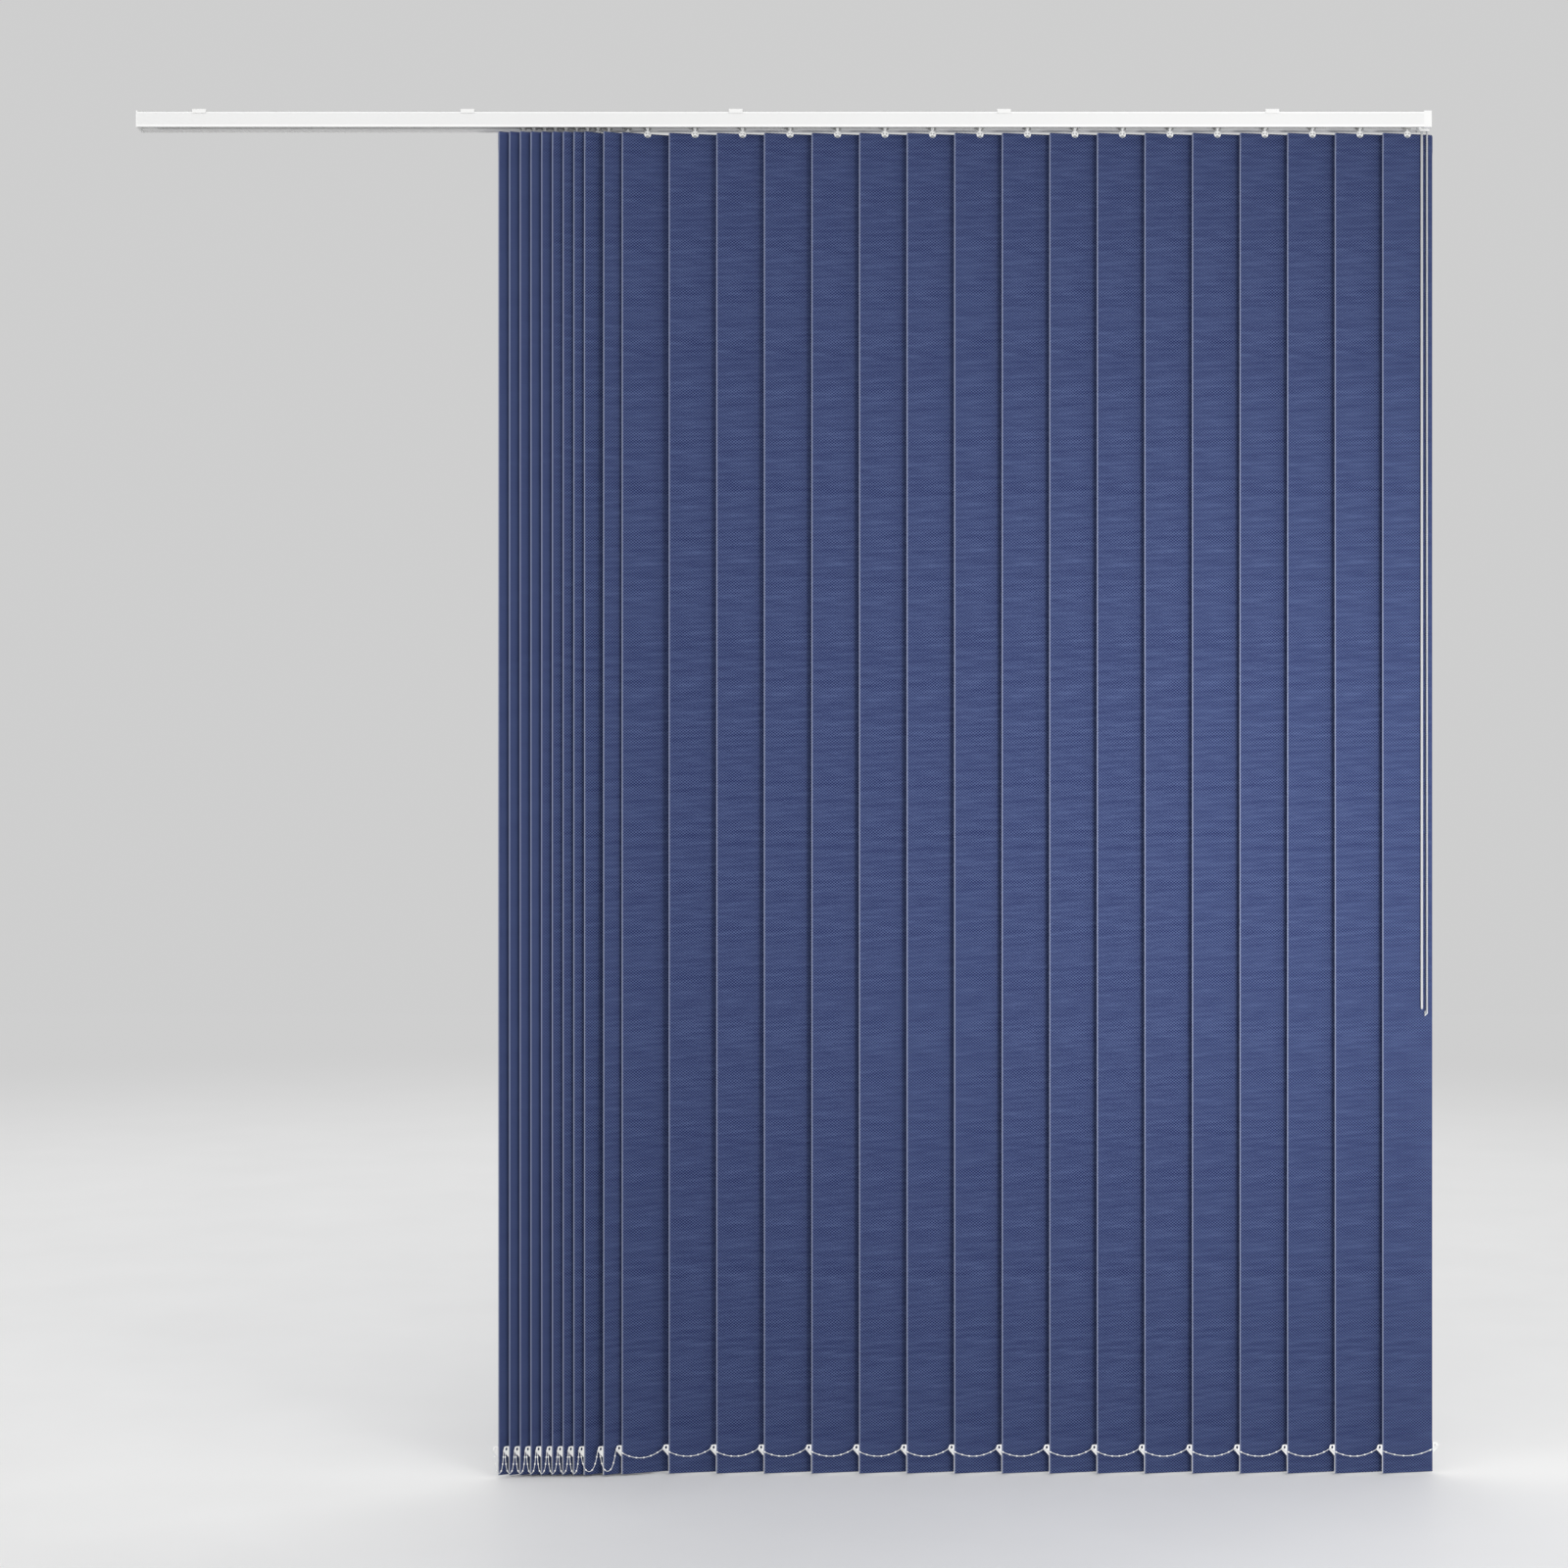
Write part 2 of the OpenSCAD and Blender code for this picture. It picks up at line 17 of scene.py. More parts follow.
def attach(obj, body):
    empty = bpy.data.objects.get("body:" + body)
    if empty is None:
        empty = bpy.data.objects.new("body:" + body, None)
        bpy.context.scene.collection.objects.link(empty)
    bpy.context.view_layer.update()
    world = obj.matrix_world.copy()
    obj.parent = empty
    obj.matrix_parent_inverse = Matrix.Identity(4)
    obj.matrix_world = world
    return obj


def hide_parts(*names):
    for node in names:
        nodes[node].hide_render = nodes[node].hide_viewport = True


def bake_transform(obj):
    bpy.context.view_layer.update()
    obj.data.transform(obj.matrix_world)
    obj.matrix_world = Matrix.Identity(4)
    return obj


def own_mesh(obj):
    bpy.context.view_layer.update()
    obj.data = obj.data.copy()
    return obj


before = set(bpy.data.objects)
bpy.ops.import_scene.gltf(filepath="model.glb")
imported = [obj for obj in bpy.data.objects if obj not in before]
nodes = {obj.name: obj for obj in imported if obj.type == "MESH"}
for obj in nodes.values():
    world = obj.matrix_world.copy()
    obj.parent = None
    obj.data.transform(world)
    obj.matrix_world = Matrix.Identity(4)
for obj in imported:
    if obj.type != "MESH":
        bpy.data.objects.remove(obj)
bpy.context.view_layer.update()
frame_materials = list(bpy.data.materials)

# %% [markdown]
# ## Sizes
# The sizes are those of the solid model, in metres, so each piece falls where the solid is.
# X runs along the rail, Y away from the room and Z up, from the middle bracket's screw hole.
# The first nine louvres are bunched at the closest pitch and turned the most. Two more stand
# between them and the spread ones.

# %% Sizes of the blind
MM = 0.001
COUNT, BUNCHED = 27, 9
STACKED, GATHERING, LEAVING, SPREAD = 18 * MM, 32 * MM, 33 * MM, 80 * MM
BUNCHED_TURN, LEAVING_TURN, SPREAD_TURN = 25, 17, 10
SLAT_W, SLAT_L, CLOTH_T = 89 * MM, 2255 * MM, 0.5 * MM
TOP_POCKET, WEIGHT_POCKET = 34 * MM, 52 * MM
RAIL_BOTTOM = -30.2 * MM
SLAT_TOP = RAIL_BOTTOM - 6.6 * MM
SLAT_BOTTOM = SLAT_TOP - SLAT_L
INSERT_T, HOOK_T = 1.0 * MM, 2.2 * MM
POCKET_T = 2 * CLOTH_T + 1.2 * INSERT_T
FIXED_X = 1131 * MM
EAR_REACH = 10.5 * MM
EAR_Z = SLAT_BOTTOM + 42 * MM


def pitch_after(k):
    """The distance from louvre k to the next one."""
    if k < BUNCHED:
        return STACKED
    return {BUNCHED: GATHERING, BUNCHED + 1: LEAVING}.get(k, SPREAD)


def turn_of(k):
    """How far louvre k is turned from the rail's line, in degrees."""
    if k <= BUNCHED + 1:
        return BUNCHED_TURN
    return LEAVING_TURN if k == BUNCHED + 2 else SPREAD_TURN


stem_x = {COUNT: FIXED_X}
for k in range(COUNT - 1, 0, -1):
    stem_x[k] = stem_x[k + 1] - pitch_after(k)
print("first louvre at", round(stem_x[1], 4), "last at", stem_x[COUNT])


def placed(k):
    """The matrix that hangs a louvre's piece, drawn about the origin, at its stem and turn."""
    return Matrix.Translation((stem_x[k], 0, 0)) @ Matrix.Rotation(math.radians(turn_of(k)), 4, "Z")


# %% [markdown]
# ## Camera
# The photograph looks level and straight at the blind, from the middle of its picture. The
# pitch of the spread louvres gives the scale, and the small rise of the louvres' lower edges
# gives the distance.

# %% Camera
EYE_AT, EYE_LENS = (0.081, -4.52, -1.132), 61.6
eye = bpy.data.cameras.new("eye")
eye.lens, eye.sensor_width = EYE_LENS, 36
eye_object = bpy.data.objects.new("eye", eye)
bpy.context.scene.collection.objects.link(eye_object)
eye_object.location = EYE_AT
eye_object.rotation_euler = (math.pi / 2, 0, 0)
bpy.context.scene.camera = eye_object
print("camera at", EYE_AT, "with a lens of", EYE_LENS, "mm")

# %% [markdown]
# ## Wires and finishes
# A finish is a material written as sums. A Wire holds one output of a node, and the signs
# + - * > < on it add the Math nodes, so a mask can be written as 1 - mask. Any other node comes
# from Finish.node, which first sets the node up and then fills or links its sockets.


# %% Wires and finishes
class Wire:
    """One value of a finish, that sums can be written with."""

    def __init__(self, finish, socket):
        self.finish, self.socket = finish, socket

    def maths(self, operation, *values):
        return self.finish.node("ShaderNodeMath", {"operation": operation}, dict(enumerate(values)))

    def __add__(self, other):
        return self.maths("ADD", self, other)

    def __sub__(self, other):
        return self.maths("SUBTRACT", self, other)

    def __rsub__(self, other):
        return self.maths("SUBTRACT", other, self)

    def __mul__(self, other):
        return self.maths("MULTIPLY", self, other)

    def __gt__(self, other):
        return self.maths("GREATER_THAN", self, other)

    def __lt__(self, other):
        return self.maths("LESS_THAN", self, other)

    __radd__, __rmul__ = __add__, __mul__

    def wave(self, period, phase=0.0):
        """A cosine of the value with that period."""
        angle = self * (2 * math.pi / period) + phase
        return angle.maths("COSINE", angle)

    def ramp(self, low, high):
        """0 below low, 1 above high and smooth between them."""
        settings = {"interpolation_type": "SMOOTHSTEP", "clamp": True}
        return self.finish.node("ShaderNodeMapRange", settings, {0: self, 1: low, 2: high})

    def between(self, low, low_end, high_start, high):
        """1 from low_end to high_start, and 0 below low and above high."""
        return self.ramp(low, low_end) * (1 - self.ramp(high_start, high))


class Finish:
    """A material with one Principled shader, whose sockets are filled by name."""

    def __init__(self, name, **fixed):
        self.material = bpy.data.materials.new(name)
        self.material.use_nodes = True
        self.tree = self.material.node_tree
        self.shader = self.tree.nodes["Principled BSDF"]
        self.drive(**fixed)

    def fill(self, node, values):
        for key, value in values.items():
            socket = node.inputs[key]
            if isinstance(value, Wire):
                self.tree.links.new(value.socket, socket)
            else:
                socket.default_value = value

    def node(self, kind, settings=None, values=None, output=0):
        made = self.tree.nodes.new(kind)
        for key, value in (settings or {}).items():
            setattr(made, key, value)
        self.fill(made, values or {})
        return Wire(self, made.outputs[output])

    def drive(self, **values):
        self.fill(self.shader, {key.replace("_", " "): value for key, value in values.items()})
        return self

    def place(self):
        """X, Y and Z of the surface's point, in metres."""
        at = self.node("ShaderNodeTexCoord", output="Object")
        return [self.node("ShaderNodeSeparateXYZ", values={0: at}, output=i) for i in range(3)]

    def cloth_place(self):
        """How far across and along the cut cloth, or round and along a cord, a point lies."""
        at = self.node("ShaderNodeUVMap", {"uv_map": "lie"})
        return [self.node("ShaderNodeSeparateXYZ", values={0: at}, output=i) for i in range(2)]

    def noise(self, scale, detail=2.0, stretch=(1, 1, 1), at=None):
        at = at or self.node("ShaderNodeTexCoord", output="Object")
        at = self.node("ShaderNodeMapping", values={"Vector": at, "Scale": stretch})
        return self.node("ShaderNodeTexNoise", values={"Vector": at, "Scale": scale, "Detail": detail})

    def mix(self, share, first, second):
        """A colour between two, each a colour or a wire."""
        first, second = [c if isinstance(c, Wire) else (*c, 1) for c in (first, second)]
        values = {0: share, 6: first, 7: second}
        return self.node("ShaderNodeMix", {"data_type": "RGBA"}, values, output=2)

    def bump(self, height, distance, strength=1.0):
        values = {"Height": height, "Distance": distance, "Strength": strength}
        return self.node("ShaderNodeBump", values=values)


# %% [markdown]
# ## Hard finishes
# The rail is powder coated: almost smooth, with an orange-peel skin too small to see except in
# its shine. On its face the coat is painted palest along two edges, as painted highlights, and
# the band over the upper one, where the clips grip, is painted grey as painted shade. The
# underside of the lip before the slot is painted grey too, as painted shade, while the lip behind
# it is painted a little paler, a painted highlight. The caps and hooks are moulded and a little
# glossier. The rod is drawn aluminium, with streaks along its length.
#
# The carriers are an unpainted plastic that has gone grey, and each carries a strip of spring
# steel, which the finish finds by its height. The white stem that the louvre hangs from shows
# as a bar down the foot of the carrier. The stems stand a pitch apart, so a cosine of that
# period along the rail finds them.

# %% Hard finishes
FACE_Y, SLOT_Y = -19 * MM, 6 * MM
LIP_Z = RAIL_BOTTOM + 0.2 * MM
rail_finish = Finish("rail powder coat", IOR=1.5)
peel = rail_finish.noise(900, 2)
cloud = rail_finish.noise(6, 3)
_, depth, height = rail_finish.place()
face_on = depth < FACE_Y
# The band along the face's top edge, over the upper highlight, is painted dark grey (0.26) as painted
# shade.
painted_top_shade = height.ramp(-4.4 * MM, -3.4 * MM) * face_on
# upper and lower are bands along the face's upper and lower edges, painted paler (0.96) as painted
# highlights.
upper = height.between(-7.2 * MM, -6.0 * MM, -4.6 * MM, -4.2 * MM)
lower = height.between(-29.0 * MM, -28.2 * MM, -26.6 * MM, -25.6 * MM)
coat = rail_finish.mix(cloud, (0.825, 0.825, 0.82), (0.85, 0.85, 0.845))
coat = rail_finish.mix((upper + lower) * face_on, coat, (0.96, 0.96, 0.955))
# On the underside, the lip before the slot is painted grey (0.42) as painted shade, and the lip behind
# it a little paler (0.86) as a painted highlight.
under = 1 - height.ramp(LIP_Z, LIP_Z + 0.2 * MM)
coat = rail_finish.mix(under * (depth < SLOT_Y), coat, (0.42, 0.42, 0.42))
coat = rail_finish.mix(under * (1 - (depth < SLOT_Y)), coat, (0.86, 0.86, 0.855))
# Last, the top band's painted shade is mixed in, dark grey (0.26).
rail_finish.drive(
    Roughness=0.33 + 0.08 * cloud,
    Base_Color=rail_finish.mix(painted_top_shade * 0.85, coat, (0.26, 0.26, 0.26)),
    Normal=rail_finish.bump(peel, 0.00002),
)

clip_finish = Finish("clip enamel", Base_Color=(0.88, 0.88, 0.87, 1), IOR=1.5)
chips = clip_finish.noise(260, 4).ramp(0.66, 0.72)
clip_finish.drive(
    Base_Color=clip_finish.mix(chips * 0.35, (0.89, 0.89, 0.88), (0.62, 0.63, 0.65)),
    Roughness=0.28 + 0.2 * clip_finish.noise(80, 2),
)


def moulded(name, first, second, rough, grain=500):
    """A moulded plastic with a faint cloud in its colour and a fine grain."""
    made = Finish(name, IOR=1.47)
    drift = made.noise(35, 3)
    return made.drive(
        Base_Color=made.mix(drift, first, second),
        Roughness=rough + 0.1 * drift,
        Normal=made.bump(made.noise(grain, 2), 0.00002),
    )


cap_finish = moulded("cap plastic", (0.88, 0.88, 0.87), (0.92, 0.92, 0.915), 0.24)
hook_finish = moulded("hook plastic", (0.92, 0.92, 0.91), (0.97, 0.97, 0.96), 0.22)
tab_finish = moulded("hanger plastic", (0.30, 0.31, 0.32), (0.40, 0.41, 0.42), 0.4)
bead_finish = moulded("bead plastic", (0.93, 0.93, 0.92), (0.98, 0.98, 0.97), 0.25)
string_finish = moulded("chain string", (0.80, 0.81, 0.83), (0.90, 0.90, 0.91), 0.6, 2500)

STEEL_Z, BAR_Z = -10.1 * MM, -29 * MM
carrier_finish = Finish("carrier plastic and steel link", IOR=1.47)
along, _, height = carrier_finish.place()
steel = height.ramp(STEEL_Z, STEEL_Z + 0.1 * MM)
grey = carrier_finish.mix(carrier_finish.noise(60, 3), (0.24, 0.24, 0.235), (0.34, 0.34, 0.33))
brushed = carrier_finish.noise(90, 3, (0.05, 1, 1))


def stem_bars(pitch, first, half_width=2.4 * MM):
    """1 within half a bar's width of a stem, in a row of stems that starts at first."""
    angle = 2 * math.pi / pitch
    return along.wave(pitch, -angle * first) > math.cos(angle * half_width)


bunched = along < stem_x[BUNCHED + 1] - 20 * MM
bars = stem_bars(STACKED, stem_x[1]) * bunched + stem_bars(SPREAD, FIXED_X) * (1 - bunched)
bars = bars * (1 - height.ramp(BAR_Z, BAR_Z + 1 * MM))
grey = carrier_finish.mix(bars, grey, (0.93, 0.93, 0.92))
carrier_finish.drive(
    Base_Color=carrier_finish.mix(steel, grey, (0.66, 0.67, 0.69)),
    Metallic=steel,
    Roughness=0.45 - 0.2 * steel + 0.15 * brushed,
    Normal=carrier_finish.bump(brushed, 0.00003),
)

rod_finish = Finish("rod aluminium", Base_Color=(0.72, 0.73, 0.75, 1), Metallic=1.0)
streaks = rod_finish.noise(1500, 2, (0.01, 1, 1))
rod_finish.drive(Roughness=0.25 + 0.2 * streaks, Normal=rod_finish.bump(streaks, 0.00002))

CAP_FROM = 1139.2 * MM
end_finish = Finish("control end plastics", IOR=1.47)
along, _, _ = end_finish.place()
inner = 1 - along.ramp(CAP_FROM, CAP_FROM + 0.1 * MM)
cap_colour = end_finish.mix(end_finish.noise(35, 3), (0.88, 0.88, 0.87), (0.93, 0.93, 0.925))
end_finish.drive(
    Base_Color=end_finish.mix(inner, cap_colour, (0.46, 0.46, 0.45)),
    Roughness=0.24 + 0.2 * inner,
    Normal=end_finish.bump(end_finish.noise(500, 2), 0.00002),
)
print("hard finishes", len(bpy.data.materials) - len(frame_materials))

# %% [markdown]
# ## Dressing the solids
# The rail, its ends, the clips, the rod and the carriers already have their real shape in the
# solid model, so they stay and only get their finish.

# %% Dress the solids
dressed = {"headrail": rail_finish, "brackets": clip_finish, "idle_end": cap_finish,
           "control_end": end_finish, "tilt_rod": rod_finish}
for k in range(1, COUNT):
    dressed[f"carrier_{k:02d}"] = carrier_finish
for name, finish in dressed.items():
    materials = nodes[name].data.materials
    materials.clear()
    materials.append(finish.material)
print("dressed", len(dressed), "solids")

# %% [markdown]
# ## The cloth's finish
# The cloth is a small check: blue-grey threads with a dark navy dot at every crossing of a
# diagonal lattice. The dots' places are the product of two cosines of the cloth's own
# coordinates, which follow it round its folds. Long thin noise lets some rows come out bolder
# than others, as uneven yarn does, and a slow wave down the cloth shades it in soft bands.
# Finer waves are the single threads and only raise the surface. One cut edge, the left one, is
# painted paler along a narrow strip, a painted highlight that the fibre noise makes uneven.

# %% The cloth's finish
CHECK_W, CHECK_H, BAND_H = 5.48 * MM, 4.56 * MM, 9.6 * MM
THREAD, NAVY = (0.091, 0.126, 0.260), (0.004, 0.008, 0.064)
# The second colour of this pair is the pale colour of the painted highlight along the left edge.
BAND_SHADE, EDGE_HIGHLIGHT = (0.012, 0.020, 0.088), (0.26, 0.29, 0.41)
cloth_finish = Finish("navy check cloth", Specular_IOR_Level=0.2, Sheen_Weight=0.04, Sheen_Roughness=0.5)
across, length = cloth_finish.cloth_place()
lie = cloth_finish.node("ShaderNodeUVMap", {"uv_map": "lie"})
drift = cloth_finish.noise(55, 3)
fibre = cloth_finish.noise(900, 3)
slub = cloth_finish.noise(105, 2, (0.14, 1, 1), at=lie)
lattice = across.wave(CHECK_W) * length.wave(CHECK_H)
dots = (lattice * (0.45 + 1.1 * slub) + (fibre - 0.5) * 0.5 + (slub - 0.5) * 0.9).ramp(-0.62, 0.70)
warp = across.wave(CHECK_W / 4)
weft = length.wave(CHECK_H / 4)
weave_colour = cloth_finish.mix(dots, THREAD, NAVY)
band = (length + 0.1 * across + 5 * MM * drift).wave(BAND_H) * 0.5 + 0.5
weave_colour = cloth_finish.mix(band * 0.24 + drift * 0.10, weave_colour, BAND_SHADE)
# A painted highlight: the cloth is painted paler within 2.8 mm of its left cut edge.
painted_edge_highlight = (1 - across.ramp(0.8 * MM, 2.8 * MM)) * (0.6 + 0.4 * fibre)
weave_colour = cloth_finish.mix(painted_edge_highlight, weave_colour, EDGE_HIGHLIGHT)
relief = warp * 0.3 + weft * 0.3 - dots * 0.5 + fibre * 0.5
cloth_finish.drive(
    Base_Color=weave_colour,
    Roughness=0.78 + 0.14 * fibre,
    Normal=cloth_finish.bump(relief, 0.00018, 0.8),
)
print("check of", round(CHECK_W / MM, 2), "by", round(CHECK_H / MM, 2), "mm")

# %% [markdown]
# ## One louvre of cloth
# A louvre is one strip of cloth, folded over at both ends to make a pocket for the hanger and
# one for the weight. The strip is swept along its own middle line, seen from the side, with the
# cloth's thickness to both sides, so that it is a closed shell. How far each point lies along
# the cut strip is kept in its map, and the weave follows that. A round notch is cut in the top
# edge, for the hook.


# %% One louvre of cloth
CORNER_R = 3 * MM
COLUMNS = (12, 24, 34, 41.5, 43.2, 44, 44.5)


def strip_line():
    """The cloth's middle line from the side, as (y, z) from the sewn end of the top pocket."""
    half = (POCKET_T - CLOTH_T) / 2
    top, foot = SLAT_TOP - POCKET_T / 2, SLAT_BOTTOM + POCKET_T / 2
    top_end, foot_end = SLAT_TOP - TOP_POCKET, SLAT_BOTTOM + WEIGHT_POCKET
    line = [(CLOTH_T, top_end), (CLOTH_T, top_end + 2 * MM)]
    line += [(half, top_end + 6 * MM), (half, SLAT_TOP - 12 * MM)]
    line += [(half * math.cos(a), top + half * math.sin(a)) for a in np.linspace(0, math.pi, 7)]
    line += [(-half, SLAT_TOP - 12 * MM), (-half, top_end + 6 * MM), (0, top_end - 1 * MM)]
    line += [(0, z) for z in np.linspace(top_end - 40 * MM, foot_end + 40 * MM, 48)]
    line += [(0, foot_end + 1 * MM), (-half, foot_end - 6 * MM)]
    turning = np.linspace(math.pi, 2 * math.pi, 7)
    line += [(half * math.cos(a), foot + half * math.sin(a)) for a in turning]
    line += [(half, foot_end - 6 * MM), (CLOTH_T, foot_end - 2 * MM), (CLOTH_T, foot_end)]
    return np.array(line)


def corner_drop(u):
    """How far the rounded top corner lies below the top edge."""
    inward = max(0.0, abs(u) - (SLAT_W / 2 - CORNER_R))
    return CORNER_R - math.sqrt(CORNER_R**2 - min(inward, CORNER_R) ** 2)


def cloth_strip():
    """The strip of cloth as a closed shell: the line's points by the columns, on both faces."""
    line = strip_line()
    ahead = np.gradient(line, axis=0)
    ahead /= np.linalg.norm(ahead, axis=1)[:, None]
    out = np.stack([ahead[:, 1], -ahead[:, 0]], axis=1) * CLOTH_T / 2
    run = np.concatenate([[0], np.cumsum(np.linalg.norm(np.diff(line, axis=0), axis=1))])
    columns = [u * MM for u in (*[-u for u in reversed(COLUMNS)], 0, *COLUMNS)]
    made = bmesh.new()
    lie = made.loops.layers.uv.new("lie")
    grid, where = {}, {}
    for i, (at, side) in enumerate(zip(line, out)):
        for j, u in enumerate(columns):
            for s in (0, 1):
                y, z = at + side * (2 * s - 1)
                near_top = min(1.0, max(0.0, (z - SLAT_TOP + 10 * MM) / (10 * MM)))
                vertex = made.verts.new((u, y, z - corner_drop(u) * near_top))
                grid[i, j, s] = vertex
                where[vertex] = (u + SLAT_W / 2, run[i])
    rows, cols = len(line), len(columns)
    quads = []
    for i in range(rows - 1):
        for j in range(cols - 1):
            quads += [[(i, j, 0), (i + 1, j, 0), (i + 1, j + 1, 0), (i, j + 1, 0)],
                      [(i, j, 1), (i, j + 1, 1), (i + 1, j + 1, 1), (i + 1, j, 1)]]
        for j in (0, cols - 1):
            quads.append([(i, j, 0), (i, j, 1), (i + 1, j, 1), (i + 1, j, 0)])
    for i in (0, rows - 1):
        for j in range(cols - 1):
            quads.append([(i, j, 0), (i, j + 1, 0), (i, j + 1, 1), (i, j, 1)])
    for quad in quads:
        face = made.faces.new([grid[q] for q in quad])
        for loop in face.loops:
            loop[lie].uv = where[loop.vert]
    bmesh.ops.recalc_face_normals(made, faces=made.faces)
    mesh = bpy.data.meshes.new("cloth")
    made.to_mesh(mesh)
    made.free()
    return mesh


def object_of(name, mesh):
    made = bpy.data.objects.new(name, mesh)
    bpy.context.scene.collection.objects.link(made)
    return made


def settled(made):
    """The object's mesh with its modifiers in it, as a mesh of its own, and the object deleted."""
    found = made.evaluated_get(bpy.context.evaluated_depsgraph_get())
    mesh = bpy.data.meshes.new_from_object(found)
    bpy.data.objects.remove(made)
    return mesh


def cylinder(name, radius, height, at, sides=32, turn=None):
    made = bmesh.new()
    matrix = Matrix.Translation(at) @ (turn or Matrix.Identity(4))
    bmesh.ops.create_cone(made, cap_ends=True, segments=sides, radius1=radius, radius2=radius,
                          depth=height, matrix=matrix)
    mesh = bpy.data.meshes.new(name)
    made.to_mesh(mesh)
    made.free()
    return object_of(name, mesh)


NOTCH_R, NOTCH_Z = 6.5 * MM, SLAT_TOP - 0.5 * MM
punch = cylinder("punch", NOTCH_R, 20 * MM, (0, 0, NOTCH_Z), turn=Matrix.Rotation(math.pi / 2, 4, "X"))
strip = object_of("strip", cloth_strip())
cut = strip.modifiers.new("notch", "BOOLEAN")
cut.operation, cut.object, cut.solver = "DIFFERENCE", punch, "EXACT"
cloth_mesh = settled(strip)
bpy.data.objects.remove(punch)
print("a louvre's cloth has", len(cloth_mesh.polygons), "faces")

# %% [markdown]
# ## Hanging the cloth
# No two louvres hang quite alike: each is slightly hollow across and a little twisted, more in
# the middle of its drop than at its ends, where the hanger and the weight keep it flat. The
# bend stays under a millimetre, so that neighbours never touch. Each strip was also cut from
# another place of the cloth, so its check starts at another height.


# %% Hang the cloth
def hang_cloth(k, draw):
    """Louvre k's cloth, bent by its own draw of numbers, whose bends are in millimetres."""
    mesh = cloth_mesh.copy()
    at = np.array([v.co for v in mesh.vertices], float).reshape(-1, 3)
    down = (SLAT_TOP - at[:, 2]) / SLAT_L
    hold = np.clip(np.minimum(down - 0.03, 0.97 - down) / 0.12, 0, 1)
    hold = hold * hold * (3 - 2 * hold)
    side = at[:, 0] / (SLAT_W / 2)
    hollow, twist, sway = draw.uniform(0.15, 0.45), draw.uniform(-0.4, 0.4), draw.uniform(0.1, 0.3)
    start = draw.uniform(0, 6)
    bend = hollow * (side**2 - 0.33) + twist * side * np.sin(2.2 * math.pi * down + start)
    bend += sway * np.sin(3.1 * math.pi * down + 2 * start)
    at[:, 1] += bend * hold * MM
    for vertex, co in zip(mesh.vertices, at):
        vertex.co = co
    lie = mesh.uv_layers["lie"]
    shift = round(draw.uniform(0, 20)) * CHECK_H * 0.37
    for loop in lie.data:
        loop.uv.y += shift
    mesh.transform(placed(k))
    mesh.materials.clear()
    mesh.materials.append(cloth_finish.material)
    mesh.shade_smooth()
    mesh.set_sharp_from_angle(angle=math.radians(35))
    return object_of(f"cloth_{k:02d}", mesh)


draw = random.Random(27)
cloths = {k: hang_cloth(k, draw) for k in range(1, COUNT + 1)}
print("cloths", len(cloths))

# %% [markdown]
# ## Hooks, hangers and weights
# These are flat mouldings. Each is an outline with its holes, drawn as a filled curve that is
# given a thickness and a small round on its edges, and then made a mesh. A hook is a ring with
# two eyes and two prongs that grip the hanger's tab, under a round stem that turns with the
# carrier. A weight is a plate with an ear at each end for the chains. The outlines are written
# in millimetres.


# %% Flat mouldings
def arc(x, z, radius, start, stop, steps=10):
    """Points on a circle, from one angle to another in degrees."""
    return [(x + radius * math.cos(math.radians(a)), z + radius * math.sin(math.radians(a)))
            for a in np.linspace(start, stop, steps)]


def moulding(name, outlines, thickness, edge, finish):
    """A flat part in X and Z, about y = 0, from outlines in millimetres: a rim and its holes."""
    curve = bpy.data.curves.new(name, "CURVE")
    curve.dimensions, curve.fill_mode = "2D", "BOTH"
    curve.extrude, curve.bevel_depth = thickness / 2 - edge, edge
    curve.bevel_resolution, curve.offset = 1, -edge
    for outline in outlines:
        spline = curve.splines.new("POLY")
        spline.points.add(len(outline) - 1)
        for point, (x, z) in zip(spline.points, outline):
            point.co = (x * MM, z * MM, 0, 1)
        spline.use_cyclic_u = True
    mesh = settled(object_of(name, curve))
    mesh.transform(Matrix.Rotation(math.pi / 2, 4, "X"))
    mesh.materials.clear()
    mesh.materials.append(finish.material)
    return mesh


def joined(name, meshes):
    """One mesh from several, each keeping its finish."""
    made = bmesh.new()
    finishes = []
    for mesh in meshes:
        first = len(made.faces)
        finish = mesh.materials[0]
        if finish not in finishes:
            finishes.append(finish)
        made.from_mesh(mesh)
        made.faces.ensure_lookup_table()
        for face in made.faces[first:]:
            face.material_index = finishes.index(finish)
    result = bpy.data.meshes.new(name)
    made.to_mesh(result)
    made.free()
    for finish in finishes:
        result.materials.append(finish)
    return result


top, low = SLAT_TOP / MM, SLAT_BOTTOM / MM
ring_z, ring_r, mouth_r = top - 1, 5.9, 3.4
grip = arc(0, ring_z, ring_r, -42, 222, 34) + arc(0, ring_z - 5.0, mouth_r, 160, 20, 14)
eyes = [arc(s * 2.9, ring_z + 1.5, 1.7, 0, 360 * 11 / 12, 12) for s in (-1, 1)]
hook_mesh = moulding("hook", [grip, *eyes], HOOK_T, 0.45 * MM, hook_finish)

STEM_R, stem_low, stem_top = 1.7 * MM, SLAT_TOP + 4 * MM, -22.1 * MM
stem = cylinder("stem", STEM_R, stem_top - stem_low, (0, 0, (stem_top + stem_low) / 2), 20)
stem.data.materials.append(hook_finish.material)
stem_mesh = settled(stem)

